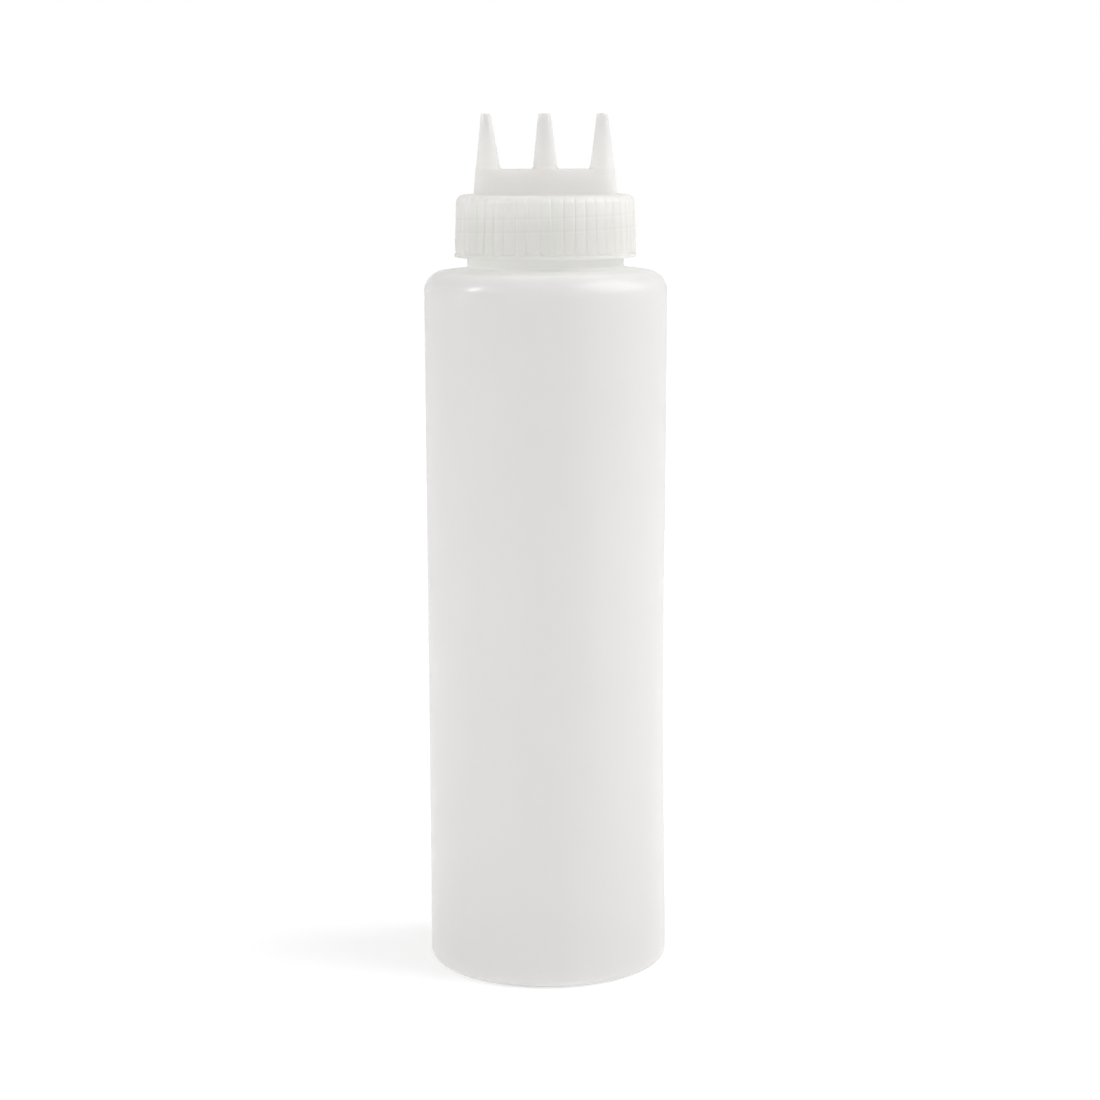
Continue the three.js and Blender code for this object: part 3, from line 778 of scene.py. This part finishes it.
def floor_paint():
    """Pale paint that is lifted to white where the camera, gloss or clear plastic looks at it. Near
    the object the camera sees less of that glow, so the object's soft shadow stays on the floor."""
    material = bpy.data.materials.new("floor_paint")
    material.use_nodes = True
    tree = material.node_tree
    tree.nodes.clear()
    light_path = add(tree, "ShaderNodeLightPath").outputs
    gloss_or_through = {0: light_path["Is Glossy Ray"], 1: light_path["Is Transmission Ray"]}
    by_object = add(tree, "ShaderNodeMath", gloss_or_through, operation="MAXIMUM")
    to_object = {0: by_object, 1: FLOOR_GLOW}
    to_object = add(tree, "ShaderNodeMath", to_object, operation="MULTIPLY")
    place = add(tree, "ShaderNodeTexCoord").outputs["Object"]
    away = add(tree, "ShaderNodeVectorMath", {0: place}, operation="LENGTH").outputs["Value"]
    near_to_far = {0: away, 1: SHADOW_REACH, 2: ALL_WHITE_FROM, 3: SHADOW_GLOW, 4: FLOOR_GLOW}
    to_camera = add(tree, "ShaderNodeMapRange", near_to_far)
    either = {0: light_path["Is Camera Ray"], 3: to_object, 4: to_camera}
    strength = add(tree, "ShaderNodeMapRange", either)
    glow = add(tree, "ShaderNodeEmission", {0: (1, 1, 1, 1), 1: strength})
    paint = add(tree, "ShaderNodeBsdfDiffuse", {0: linear(FLOOR_COLOUR)})
    both = add(tree, "ShaderNodeAddShader", {0: paint, 1: glow})
    add(tree, "ShaderNodeOutputMaterial", {0: both})
    return material


floor_mesh = bmesh.new()
bmesh.ops.create_grid(floor_mesh, x_segments=2, y_segments=2, size=FLOOR_SIZE / 2)
floor = piece("floor", floor_mesh)
floor.data.materials.append(floor_paint())


def soft_box(name, azimuth, elevation, distance, width, height, power):
    """A soft box that faces the object from an azimuth, where 0 is the viewer's side and 90 the right."""
    a, e = math.radians(azimuth), math.radians(elevation)
    way = Vector((math.sin(a) * math.cos(e), -math.cos(a) * math.cos(e), math.sin(e)))
    lamp = bpy.data.lights.new(name, "AREA")
    lamp.shape = "RECTANGLE"
    lamp.size, lamp.size_y, lamp.energy = width, height, power
    light = bpy.data.objects.new(name, lamp)
    light.location = AIM + way * distance
    light.rotation_mode = "QUATERNION"
    light.rotation_quaternion = (-way).to_track_quat("-Z", "Y")
    bpy.context.scene.collection.objects.link(light)
    return light


soft_box("right_soft_box", azimuth=85, elevation=42, distance=1.2, width=1.1, height=1.0, power=10.5)
soft_box("left_lamp", azimuth=-77, elevation=33, distance=1.1, width=0.18, height=0.34, power=2.3)
soft_box("left_strip", azimuth=-80, elevation=10, distance=1.1, width=0.08, height=0.27, power=0.35)

LIGHT_FROM_SIDES = 0.84
LIGHT_FROM_ABOVE = 0.57

world = bpy.data.worlds.new("white_surround")
world.use_nodes = True
bpy.context.scene.world = world
surround = world.node_tree
surround.nodes.clear()
path = add(surround, "ShaderNodeLightPath").outputs
camera_or_through = {0: path["Is Camera Ray"], 1: path["Is Transmission Ray"]}
seen_world = add(surround, "ShaderNodeMath", camera_or_through, operation="MAXIMUM")
way = add(surround, "ShaderNodeTexCoord").outputs["Generated"]
height = add(surround, "ShaderNodeSeparateXYZ", {0: way}).outputs[2]
light = add(surround, "ShaderNodeMapRange", {0: height, 3: LIGHT_FROM_SIDES, 4: LIGHT_FROM_ABOVE})
strength = add(surround, "ShaderNodeMapRange", {0: seen_world, 3: light, 4: 1.0})
sky = add(surround, "ShaderNodeBackground", {0: (1, 1, 1, 1), 1: strength})
add(surround, "ShaderNodeOutputWorld", {0: sky})

# Camera: at the photo's distance and height, looking slightly down with a hair of roll. Its lens
# is worked out from the focal length in the photo's pixels.
CAMERA_PLACE = Vector((1.08 * MM, -838 * MM, 276 * MM))
CAMERA_PITCH = 9.24
CAMERA_ROLL = -0.24
FOCAL_PIXELS = 2534.5
FRAME_PIXELS = 1100
SENSOR_WIDTH = 36

camera = bpy.data.cameras.new("photo_camera")
camera.sensor_width = SENSOR_WIDTH
camera.lens = FOCAL_PIXELS / FRAME_PIXELS * SENSOR_WIDTH
view = bpy.data.objects.new("photo_camera", camera)
tilt = Matrix.Rotation(math.radians(90 - CAMERA_PITCH), 4, "X")
roll = Matrix.Rotation(math.radians(CAMERA_ROLL), 4, "Z")
view.matrix_world = Matrix.Translation(CAMERA_PLACE) @ tilt @ roll
bpy.context.scene.collection.objects.link(view)
bpy.context.scene.camera = view
bpy.context.scene.view_settings.view_transform = "Standard"
# Light crosses these milky walls many times, and with the default bounces it would die out there.
ALL_BOUNCES = 32
MILKY_BOUNCES = 24
bpy.context.scene.cycles.max_bounces = ALL_BOUNCES
bpy.context.scene.cycles.diffuse_bounces = MILKY_BOUNCES
bpy.context.scene.cycles.transmission_bounces = MILKY_BOUNCES
